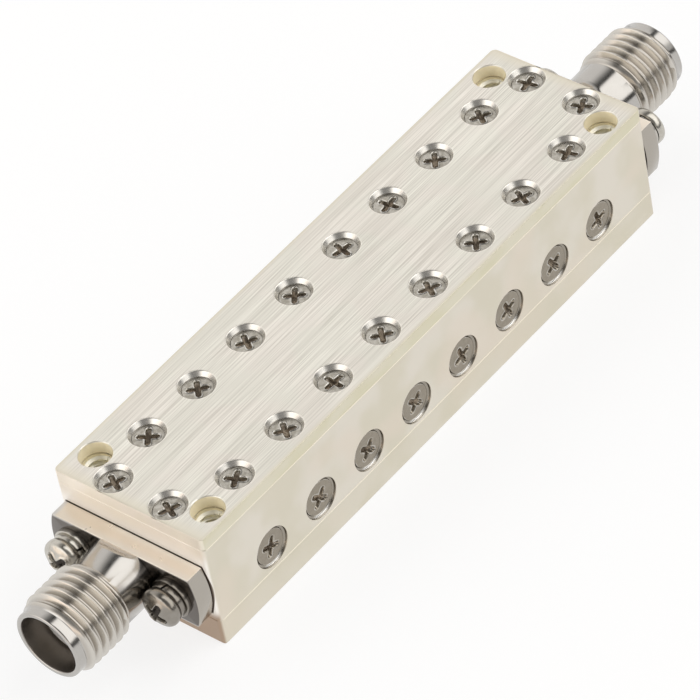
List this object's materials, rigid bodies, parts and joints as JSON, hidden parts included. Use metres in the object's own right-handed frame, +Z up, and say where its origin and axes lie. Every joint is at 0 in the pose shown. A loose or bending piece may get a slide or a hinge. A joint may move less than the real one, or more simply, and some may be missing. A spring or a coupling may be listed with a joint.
{
  "type": "coaxial cavity band-pass filter",
  "caption": "Plated metal cavity filter with countersunk lid screws and a flanged threaded coaxial socket on each end",
  "frame": {"origin": "centre of the underside", "axes": "+X along the filter from the input to the output connector, +Z up towards the lid, -Y towards the side wall that carries the rods and their screws"},
  "size_m": [0.0668, 0.013, 0.0099],
  "materials": {
    "lid_plating": "brushed",
    "housing_plating": "satin",
    "connector_steel": "satin",
    "screw_steel": "satin",
    "contact_gold": "polished",
    "insulator_white": "matte"
  },
  "bodies": {
    "root": {"housing_body": "housing_plating", "top_lid": "lid_plating", "base_plate": "housing_plating", "lid_screws_root_row": "screw_steel", "lid_screws_free_row": "screw_steel", "lid_screws_ends": "screw_steel", "rod_screws": "screw_steel", "resonator_rod_1": "housing_plating", "resonator_rod_2": "housing_plating", "resonator_rod_3": "housing_plating", "resonator_rod_4": "housing_plating", "resonator_rod_5": "housing_plating", "resonator_rod_6": "housing_plating", "resonator_rod_7": "housing_plating", "resonator_rod_8": "housing_plating", "input_connector_shell": "connector_steel", "input_dielectric": "insulator_white", "input_contact": "contact_gold", "input_flange_screws": "screw_steel", "input_lock_washers": "screw_steel", "input_flat_washers": "screw_steel", "output_connector_shell": "connector_steel", "output_dielectric": "insulator_white", "output_contact": "contact_gold", "output_flange_screws": "screw_steel", "output_lock_washers": "screw_steel", "output_flat_washers": "screw_steel"}
  },
  "joints": []
}
